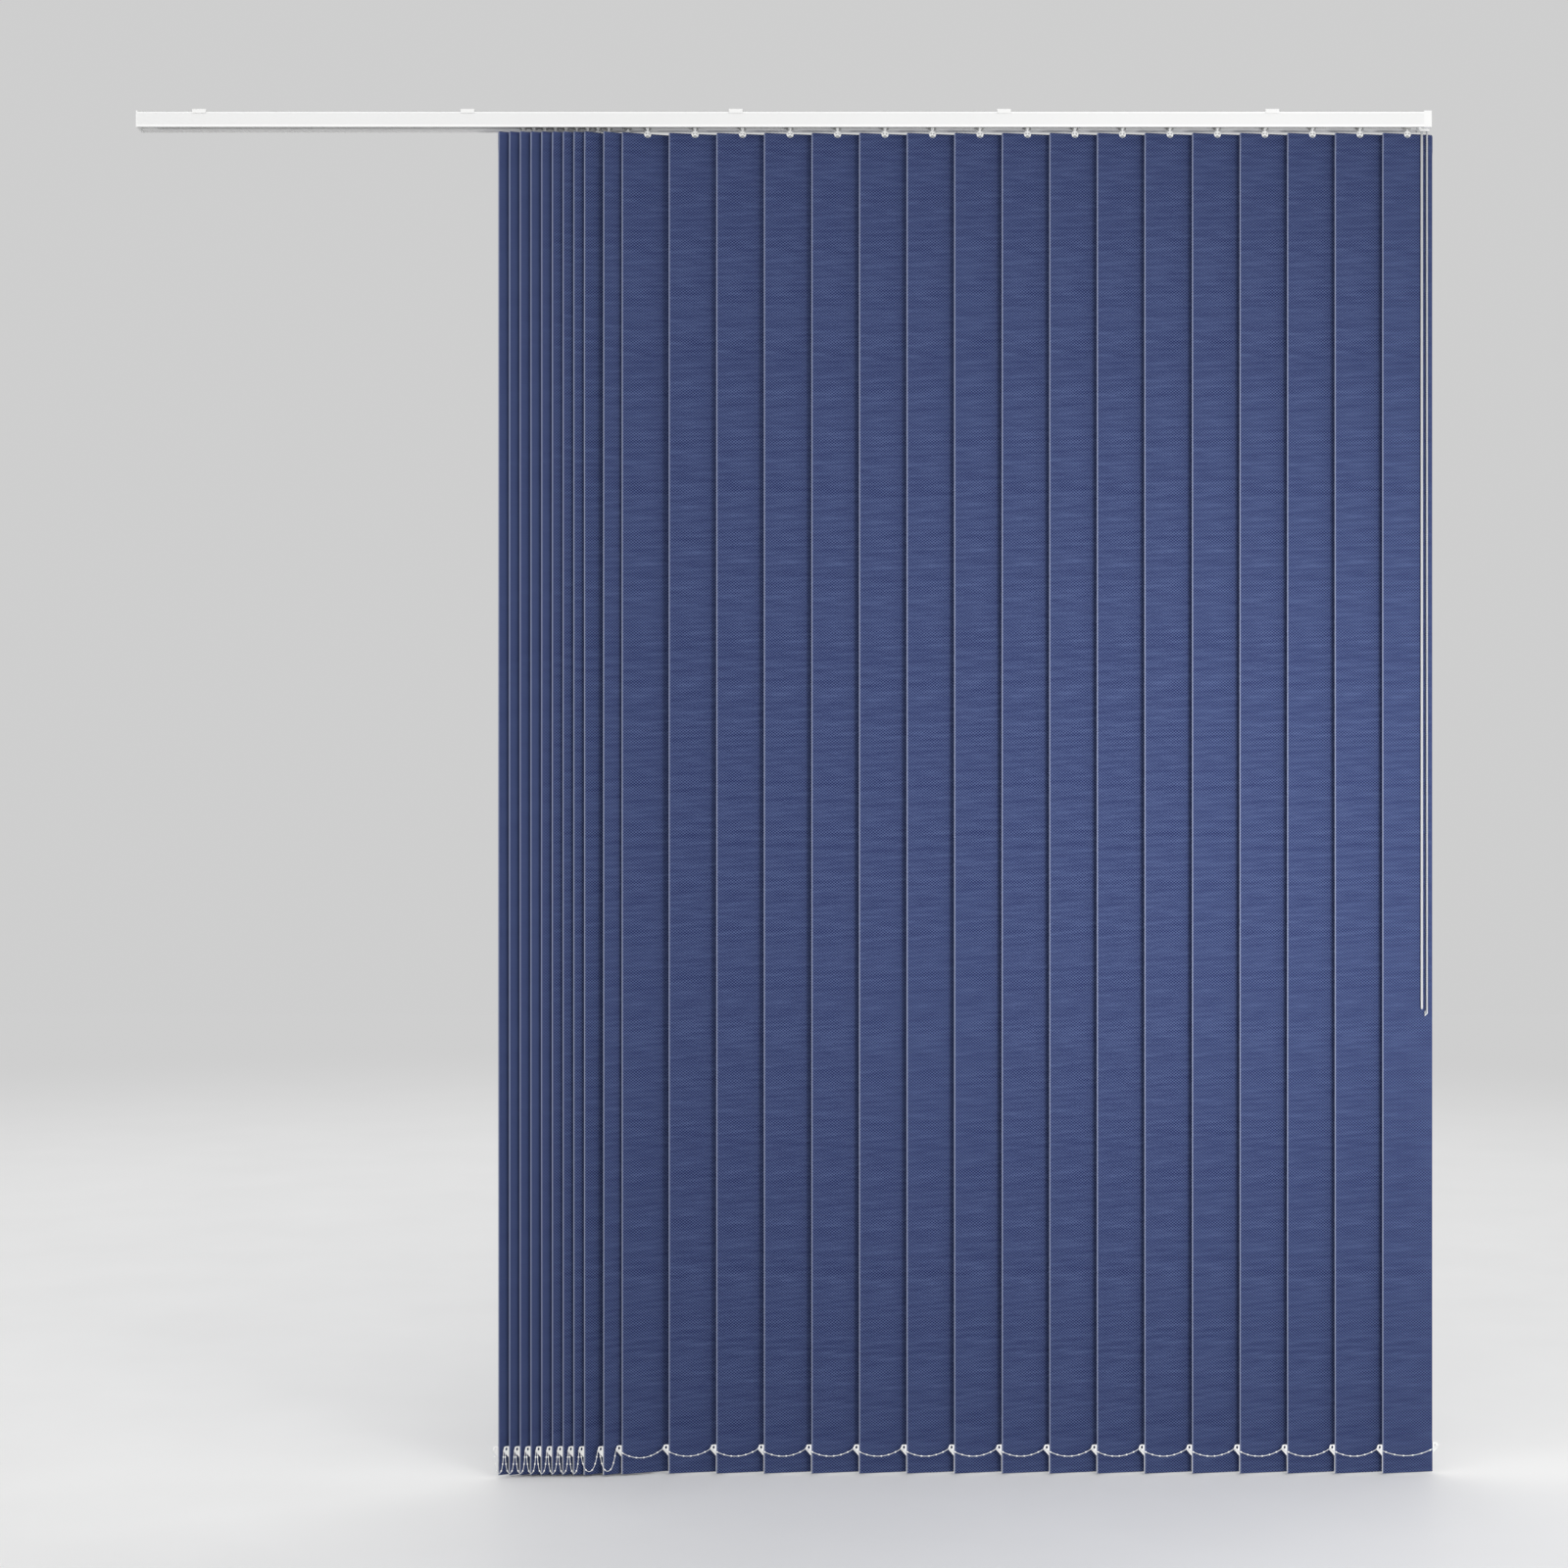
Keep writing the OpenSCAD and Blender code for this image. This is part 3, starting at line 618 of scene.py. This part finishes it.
tab_r, hanger_w, hanger_h, drop = 4.4, 70, 18, 8
left_tab = [(-tab_r, top - drop), (-hanger_w / 2 + 2, top - drop), (-hanger_w / 2, top - drop - 2)]
left_tab += [(-hanger_w / 2, top - drop - hanger_h + 2), (-hanger_w / 2 + 2, top - drop - hanger_h)]
hanger_rim = arc(0, top - 3.5, tab_r, 0, 180, 13) + left_tab + [(-x, z) for x, z in reversed(left_tab)]
window = [(-2.7, top - 1.6), (2.7, top - 1.6), (2.7, top + 0.4), (-2.7, top + 0.4)]
hanger_mesh = moulding("hanger", [hanger_rim, window], INSERT_T, 0.15 * MM, tab_finish)

edge = SLAT_W / MM / 2
plate_low, plate_w = low + 0.7, edge + 0.6
plate_top = plate_low + 47
plate = [(-plate_w, plate_low), (plate_w, plate_low), (plate_w, plate_top), (-plate_w, plate_top)]
weight_mesh = moulding("weight", [plate], INSERT_T, 0.15 * MM, hook_finish)

ear_z, edge_u, tip = EAR_Z / MM, edge + 0.3, edge + EAR_REACH / MM
ear_rim = [(edge_u, ear_z - 12), (edge_u + 2.2, ear_z - 9.8)]
ear_rim += [(edge_u + 4.5, ear_z - 7), (tip - 3.4, ear_z - 4.4)]
ear_rim += [(tip - 1.2, ear_z - 2.2), (tip, ear_z - 0.9), (tip, ear_z + 0.3), (tip - 1.4, ear_z + 1.6)]
ear_rim += [(tip - 1.5, ear_z + 4.8), (tip - 2.4, ear_z + 6.5)]
ear_rim += [(tip - 4, ear_z + 7), (edge_u, ear_z + 7)]
hole_u, hole_r = edge_u + 4.3, 1.75
ear_hole = arc(hole_u, ear_z + 3.4, hole_r, 0, 180, 7) + arc(hole_u, ear_z + 1.8, hole_r, 180, 360, 7)
ears = []
for s in (-1, 1):
    outlines = [[(s * x, z) for x, z in rim] for rim in (ear_rim, ear_hole)]
    ears.append(moulding("ear", outlines, 1.6 * MM, 0.35 * MM, hook_finish))
fittings_mesh = joined("fittings", [hook_mesh, stem_mesh, hanger_mesh, weight_mesh, *ears])
print("a louvre's fittings have", len(fittings_mesh.polygons), "faces")

fittings = {}
for k in range(1, COUNT + 1):
    mesh = fittings_mesh.copy()
    mesh.transform(placed(k))
    mesh.shade_smooth()
    mesh.set_sharp_from_angle(angle=math.radians(40))
    fittings[k] = object_of(f"fittings_{k:02d}", mesh)

# %% [markdown]
# ## Beaded chains
# A bead repeats along every chain, so one tree of Geometry Nodes makes them all. It takes a
# curve, spreads points along it, puts a bead on each and sweeps a thin string through them.
# The stabiliser chains have a bead about every 12 mm, and the control chain's beads nearly
# touch.


# %% The tree that strings beads on a curve
def bead_tree():
    """The tree, with its inputs: how many beads there are and how many show, and their sizes."""
    tree = bpy.data.node_groups.new("beads on a string", "GeometryNodeTree")
    face = tree.interface
    face.new_socket("Curve", in_out="INPUT", socket_type="NodeSocketGeometry")
    counts = {"Beads": 8, "Shown": 7}
    sizes = {"Bead Radius": 1.35 * MM, "Bead Length": 1.4, "String Radius": 0.55 * MM}
    for kind, given in (("NodeSocketInt", counts), ("NodeSocketFloat", sizes)):
        for name, value in given.items():
            face.new_socket(name, in_out="INPUT", socket_type=kind).default_value = value
    face.new_socket("Mesh", in_out="OUTPUT", socket_type="NodeSocketGeometry")

    def add(kind, **links):
        made = tree.nodes.new(kind)
        for key, value in links.items():
            socket = made.inputs[key.replace("_", " ")]
            if isinstance(value, bpy.types.NodeSocket):
                tree.links.new(value, socket)
            else:
                socket.default_value = value
        return made

    given = tree.nodes.new("NodeGroupInput").outputs
    spots = add("GeometryNodeCurveToPoints", Curve=given["Curve"], Count=given["Beads"])
    ball = add("GeometryNodeMeshUVSphere", Segments=8, Rings=6, Radius=given["Bead Radius"])
    longer = add("ShaderNodeCombineXYZ", X=1.0, Y=1.0, Z=given["Bead Length"])
    early = tree.nodes.new("FunctionNodeCompare")
    early.data_type, early.operation = "INT", "LESS_THAN"
    whole = [socket for socket in early.inputs if socket.type == "INT"]
    tree.links.new(tree.nodes.new("GeometryNodeInputIndex").outputs[0], whole[0])
    tree.links.new(given["Shown"], whole[1])
    beads = add("GeometryNodeInstanceOnPoints", Points=spots.outputs["Points"],
                Instance=ball.outputs["Mesh"], Selection=early.outputs[0],
                Rotation=spots.outputs["Rotation"], Scale=longer.outputs["Vector"])
    beads = add("GeometryNodeRealizeInstances", Geometry=beads.outputs["Instances"])
    beads = add("GeometryNodeSetMaterial", Geometry=beads.outputs["Geometry"],
                Material=bead_finish.material)
    ring = add("GeometryNodeCurvePrimitiveCircle", Resolution=6, Radius=given["String Radius"])
    string = add("GeometryNodeCurveToMesh", Curve=given["Curve"], Profile_Curve=ring.outputs["Curve"])
    string.inputs["Fill Caps"].default_value = True
    string = add("GeometryNodeSetMaterial", Geometry=string.outputs["Mesh"],
                 Material=string_finish.material)
    both = tree.nodes.new("GeometryNodeJoinGeometry")
    tree.links.new(string.outputs["Geometry"], both.inputs[0])
    tree.links.new(beads.outputs["Geometry"], both.inputs[0])
    end = tree.nodes.new("NodeGroupOutput")
    tree.links.new(both.outputs[0], end.inputs["Mesh"])
    return tree


beads_on_string = bead_tree()
socket_names = {item.name: item.identifier for item in beads_on_string.interface.items_tree
                if item.in_out == "INPUT"}
print("bead tree with", len(beads_on_string.nodes), "nodes")


def strung(name, points, **sizes):
    """A chain along the points, as a plain mesh."""
    curve = bpy.data.curves.new(name, "CURVE")
    curve.dimensions = "3D"
    spline = curve.splines.new("POLY")
    spline.points.add(len(points) - 1)
    for point, at in zip(spline.points, points):
        point.co = (*at, 1)
    source = object_of(name + "_line", curve)
    string = source.modifiers.new("beads", "NODES")
    string.node_group = beads_on_string
    for key, value in sizes.items():
        string[socket_names[key.replace("_", " ")]] = value
    mesh = settled(source)
    mesh.shade_smooth()
    return object_of(name, mesh)


# %% [markdown]
# ## Stabiliser chains
# Between two ears a chain hangs in a catenary, the curve of anything limp that is held at two
# ends. Each length is about as long as the others, so between spread louvres it is a shallow
# swag, and between bunched ones a deep narrow loop. From the ear's hole the string first comes
# down over the ear's side. The front chain goes on across the last louvre to its other ear,
# and is a little longer there than its span.


# %% Stabiliser chains
CHAIN_L, BUNCHED_L, CHAIN_OUT, CHAIN_RISE = 86 * MM, 83 * MM, 3.15 * MM, 2 * MM
EAR_SIDE, EAR_DROP, HOLE_IN = 0.058, 3.5 * MM, 1 * MM
NARROW, SLACK, BEADS = 2 * MM, 1.05, 7


def ear_point(k, side, face):
    """Where a chain is held: side 1 is the left ear and -1 the right, face 1 is the front."""
    reach = SLAT_W / 2 + EAR_REACH - HOLE_IN
    return placed(k) @ Vector((-side * reach, -face * CHAIN_OUT, EAR_Z + CHAIN_RISE))


def hanging(first, last, length, steps=28):
    """Points on the catenary of that length between two ends at one height.

    Its middle solves sinh(x) / x = length / span, and is found by halving."""
    span = (last - first).length
    low, high = 0.01, 6.0
    for _ in range(40):
        middle = (low + high) / 2
        low, high = (middle, high) if math.sinh(middle) / middle < length / span else (low, middle)
    a = span / (2 * low)
    ahead = (last - first).normalized()
    points = []
    for s in np.linspace(-length / 2, length / 2, steps + 1):
        along, sag = a * math.asinh(s / a), math.hypot(length / 2, a) - math.hypot(s, a)
        points.append(first + ahead * (span / 2 + along) - Vector((0, 0, sag)))
    return points


def chain_between(name, first, last, final=False):
    """A length of chain. Two share the bead at an ear, so only the final one shows its last."""
    over = (last - first) * EAR_SIDE
    down = Vector((0, 0, -EAR_DROP))
    left, right = first + over + down, last - over + down
    whole = BUNCHED_L if over.length < NARROW else max(CHAIN_L, SLACK * (last - first).length)
    free = whole - 2 * (over + down).length
    points = [first, *hanging(left, right, free), last]
    return strung(name, points, Beads=BEADS + 1, Shown=BEADS + final)


front, back = {}, {}
for k in range(1, COUNT):
    front[k] = chain_between(f"chain_front_{k:02d}", ear_point(k, 1, 1), ear_point(k + 1, 1, 1))
    back[k] = chain_between(f"chain_back_{k:02d}", ear_point(k, -1, -1), ear_point(k + 1, -1, -1),
                            k == COUNT - 1)
end_chain = chain_between("chain_end", ear_point(COUNT, 1, 1), ear_point(COUNT, -1, 1), True)
faces = len(front[1].data.polygons)
print("chain lengths", len(front) + len(back) + 1, "faces each about", faces)

# %% [markdown]
# ## Draw cord and control chain
# Both hang from the control end, about 1.5 m down, in two strands. The draw cord's strands end
# in a slim sleeve that joins them, and the bead chain's in a small connector with a bent tail.
# Each strand is a cord of its own. The braid is drawn by the finish, round and along the tube.

# %% The cord's finish
YARNS, LAY = 4, 2.4 * MM
cord_finish = Finish("braided cord")
around, length = cord_finish.cloth_place()
round_it, down_it = around * (2 * math.pi * YARNS), length * (2 * math.pi / LAY)
right_hand, left_hand = round_it + down_it, round_it - down_it
plait = right_hand.maths("SINE", right_hand) * left_hand.maths("SINE", left_hand)
cord_finish.drive(
    Base_Color=cord_finish.mix(plait.ramp(-0.6, 0.6), (0.46, 0.47, 0.49), (0.60, 0.61, 0.62)),
    Roughness=0.6 + 0.2 * plait,
    Normal=cord_finish.bump(plait, 0.00008),
)
print("braid of", 2 * YARNS, "yarns")


# %% Tubes along a line
def tube(name, points, radius, finish, sides=10):
    """A round tube through points, with how far round and along in its map."""
    points = [Vector(p) for p in points]
    made = bmesh.new()
    lie = made.loops.layers.uv.new("lie")
    rings, run = [], [0.0]
    across_to = None
    angles = [2 * math.pi * j / sides for j in range(sides)]
    for i, point in enumerate(points):
        ahead = (points[min(i + 1, len(points) - 1)] - points[max(i - 1, 0)]).normalized()
        if across_to is None:
            across_to = ahead.orthogonal()
        across_to = (across_to - ahead * across_to.dot(ahead)).normalized()
        up = ahead.cross(across_to)
        rings.append([made.verts.new(point + radius * (math.cos(a) * across_to + math.sin(a) * up))
                      for a in angles])
        if i:
            run.append(run[-1] + (point - points[i - 1]).length)
    for i in range(len(rings) - 1):
        for j in range(sides):
            corners = ((j, i), (j + 1, i), (j + 1, i + 1), (j, i + 1))
            face = made.faces.new([rings[b][a % sides] for a, b in corners])
            for loop, (a, b) in zip(face.loops, corners):
                loop[lie].uv = (a / sides, run[b])
    made.faces.new(list(reversed(rings[0])))
    made.faces.new(rings[-1])
    mesh = bpy.data.meshes.new(name)
    made.to_mesh(mesh)
    made.free()
    mesh.materials.append(finish.material)
    mesh.shade_smooth()
    mesh.set_sharp_from_angle(angle=math.radians(60))
    return object_of(name, mesh)


def straight(x, y, high, low, steps):
    """Points down a plumb line."""
    return [(x, y, z) for z in np.linspace(high, low, steps)]


CORD_X, STRAND_X, CORD_R, CORD_DROP = 1155.5 * MM, 1.05 * MM, 1.0 * MM, 1480 * MM
CHAIN_X, STRAND_Y, CHAIN_R, CHAIN_DROP = 1164 * MM, 1.9 * MM, 1.5 * MM, 1490 * MM
BEAD_PITCH, SLEEVE_R, LINK_R, TAIL_R = 3.44 * MM, 2.1 * MM, 1.0 * MM, 1.1 * MM
EXIT_Z, MOUTH_Z = -23.4 * MM, RAIL_BOTTOM - 3.2 * MM
cord_low = RAIL_BOTTOM - CORD_DROP + 4 * MM
cord_lines = {side: straight(CORD_X + s * STRAND_X, 0, EXIT_Z, cord_low, 40)
              for side, s in (("left", -1), ("right", 1))}
cords = {side: tube(f"draw_cord_{side}", line, CORD_R, cord_finish)
         for side, line in cord_lines.items()}

sleeve_line = [(CORD_X, 0, cord_low + z * MM) for z in (9, 8.6, 7.5, 0, -3, -4.6, -5.2)]
sleeve = tube("cord_sleeve", sleeve_line, SLEEVE_R, cord_finish, 16)
for vertex in sleeve.data.vertices:  # both its ends are drawn in
    end = abs(vertex.co.z - (cord_low + 2 * MM)) / (7.2 * MM)
    narrow = 1 - 0.45 * max(0.0, end - 0.72) / 0.28
    vertex.co.x = CORD_X + (vertex.co.x - CORD_X) * narrow
    vertex.co.y *= narrow

chain_low = RAIL_BOTTOM - CHAIN_DROP + 3.6 * MM
chain_lines = {side: straight(CHAIN_X, s * STRAND_Y, EXIT_Z, chain_low, 60)
               for side, s in (("front", -1), ("rear", 1))}
chain_beads = int((EXIT_Z - chain_low) / BEAD_PITCH) + 1
chains = {side: strung(f"control_chain_{side}", line, Beads=chain_beads, Shown=chain_beads,
                       Bead_Radius=CHAIN_R, Bead_Length=1.0, String_Radius=0.6 * MM)
          for side, line in chain_lines.items()}
control_finish = moulded("control chain plastic", (0.50, 0.51, 0.53), (0.62, 0.63, 0.64), 0.3)
for chain in chains.values():
    for i in range(len(chain.data.materials)):
        chain.data.materials[i] = control_finish.material

# The connector bends under both strands, and the tail curls off to the left.
link_line = [(CHAIN_X, -STRAND_Y, chain_low + 2 * MM), (CHAIN_X, -STRAND_Y, chain_low - 1 * MM)]
for i in range(1, 6):
    bend, aside = math.pi * i / 6, 1 * MM * i * i / 9
    low_z = chain_low - (1 + 1.9 * math.sin(bend)) * MM
    link_line.append((CHAIN_X - aside, -STRAND_Y * math.cos(bend), low_z))
link_line += [(CHAIN_X - 2.8 * MM, STRAND_Y, chain_low - 1 * MM)]
link_line += [(CHAIN_X - 2.2 * MM, STRAND_Y, chain_low + 2 * MM)]
connector = tube("chain_connector", link_line, LINK_R, control_finish, 10)
tail_bend = ((0, -1), (0.3, 1.2), (1.4, 3.0), (3.0, 4.4), (4.4, 5.2))
tail_line = [(CHAIN_X - x * MM, -STRAND_Y - 0.2 * MM, chain_low - z * MM) for x, z in tail_bend]
tail = tube("chain_tail", tail_line, TAIL_R, control_finish, 10)
print("strands", len(cords) + len(chains), "with", chain_beads, "beads on each of the chain's")

# %% [markdown]
# ## The cord inside the rail
# The draw cord goes on along the rail in grooves of the carriers, round the pulley at the far
# end and back.

# %% The cord inside the rail
CORD_Y, CORD_Z, PULLEY_X, PLUG_LEFT = 9.0 * MM, -13.1 * MM, -987.5 * MM, 1139.55 * MM
run_line = [(x, -CORD_Y, CORD_Z) for x in np.linspace(PLUG_LEFT, PULLEY_X, 14)]
run_line += [(PULLEY_X - CORD_Y * math.sin(a), -CORD_Y * math.cos(a), CORD_Z)
             for a in np.linspace(0, math.pi, 13)[1:-1]]
run_line += [(x, CORD_Y, CORD_Z) for x in np.linspace(PULLEY_X, PLUG_LEFT, 14)]
rail_cord = tube("draw_cord_run", run_line, CORD_R, cord_finish, 8)

# %% [markdown]
# ## Bodies
# Now the pieces are tied to the bodies that they move with. A louvre's cloth and fittings turn
# with the louvre. A length of chain from the eleventh louvre on slides along with the carrier of
# the louvre where it starts, and the lengths before it are tied to no body. The chain across the
# last louvre turns with it.

# %% Tie the pieces to their bodies
for k in range(1, COUNT + 1):
    node = f"louvre_{k:02d}"
    for piece, slot in ((cloths[k], "navy_fabric"), (fittings[k], "white_plastic")):
        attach(piece, node)
        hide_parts(node)

CLOSEST = {BUNCHED + 1: 25 * MM, BUNCHED + 2: 33 * MM}
for k in range(1, COUNT):
    for chain, side in ((front[k], 1), (back[k], -1)):
        own, other = ear_point(k, side, side), ear_point(k + 1, side, side)
        if k > BUNCHED + 1:
            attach(chain, f"carrier_{k:02d}")
            CLOSEST.get(k, STACKED) / pitch_after(k)
            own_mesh(chain)
        else:
            f"carrier_{k + 1:02d}"
            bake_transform(chain)
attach(end_chain, f"louvre_{COUNT}")
for chain in (*front.values(), *back.values(), end_chain):
    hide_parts("stabiliser_chains")

limp = (*cords.values(), *chains.values(), rail_cord)
hard = (sleeve, connector, tail)
for pieces, slot in ((limp, "white_cord"), (hard, "white_plastic")):
    for piece in pieces:
        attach(piece, "headrail")
        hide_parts("control_cords")
print("tied", 2 * len(cloths), "louvre pieces and", len(limp) + len(hard), "cord pieces")

# %% [markdown]
# ## Floor and light
# A pale floor lies just under the louvres. The world is an even soft light, and shows a pale
# grey to the camera and in reflections, so that the white rail stands out. One lamp before the
# last louvres makes the cloth brighter there, and one over the rail's other end lights the
# rail. The floor is pale to the camera and darker to light that bounces off it, so that it
# doesn't light the louvres' feet too much. Its far end fades into the backdrop: there it glows
# like the backdrop, less the little that it still reflects.

# %% Floor and light
FLOOR_Z, BACKDROP, FAR_SHINE = SLAT_BOTTOM - 3 * MM, 0.62, 0.014
FLOOR_HALF, FADE_FROM, FADE_TO = 9, 2.4, 7.5
ground = bpy.data.meshes.new("floor")
around_it = ((-1, -1), (1, -1), (1, 1), (-1, 1))
corners = [(x * FLOOR_HALF, y * FLOOR_HALF, FLOOR_Z) for x, y in around_it]
ground.from_pydata(corners, [], [(0, 1, 2, 3)])
floor = object_of("floor", ground)
floor_finish = Finish("pale floor", Specular_IOR_Level=0.12, Emission_Strength=1.0)
seen = floor_finish.node("ShaderNodeLightPath")
pale = floor_finish.mix(floor_finish.noise(3, 3), (0.80, 0.80, 0.80), (0.86, 0.86, 0.86))
near = floor_finish.mix(seen, (0.55, 0.55, 0.55), pale)
wide, deep, _ = floor_finish.place()
squared = wide * wide + deep * deep
away = squared.maths("SQRT", squared).ramp(FADE_FROM, FADE_TO)
floor_finish.drive(
    Base_Color=floor_finish.mix(away, near, (0, 0, 0)),
    Emission_Color=floor_finish.mix(away, (0, 0, 0), (BACKDROP - FAR_SHINE,) * 3),
    Roughness=0.45 + 0.55 * away,
)
ground.materials.append(floor_finish.material)


class Sky(Finish):
    """The world, whose colour for light differs from the one that is seen."""

    def __init__(self, name, seen, light):
        world = bpy.data.worlds.new(name)
        world.use_nodes = True
        self.tree = world.node_tree
        self.shader = self.tree.nodes["Background"]
        path = self.tree.nodes.new("ShaderNodeLightPath")
        rays = ("Is Camera Ray", "Is Glossy Ray", "Is Transmission Ray")
        camera, glossy, through = [Wire(self, path.outputs[ray]) for ray in rays]
        direct = camera.maths("MAXIMUM", camera, glossy.maths("MAXIMUM", glossy, through))
        self.drive(Color=(1, 1, 1, 1), Strength=light + (seen - light) * direct)
        bpy.context.scene.world = world


SKY_LIGHT = 0.97
Sky("pale surroundings", BACKDROP, SKY_LIGHT)


def softbox(name, at, aim, size, watts, spread=180):
    """A square lamp that the camera doesn't see, aimed at a point."""
    lamp = bpy.data.lights.new(name, "AREA")
    lamp.shape, lamp.size, lamp.energy, lamp.spread = "SQUARE", size, watts, math.radians(spread)
    made = bpy.data.objects.new(name, lamp)
    made.visible_camera = False
    bpy.context.scene.collection.objects.link(made)
    made.location = at
    made.rotation_euler = (Vector(aim) - Vector(at)).to_track_quat("-Z", "Y").to_euler()


softbox("key", (1.5, -2.1, -1.25), (0.9, 0, -1.2), 0.8, 9.6, 90)
softbox("rail light", (-1.3, -1.8, 0.9), (-0.8, 0, 0), 0.8, 7)
print("lamps", len(bpy.data.lights), "over a floor at", round(FLOOR_Z, 3))

# %% Finish
bpy.context.scene.view_settings.view_transform = "Standard"
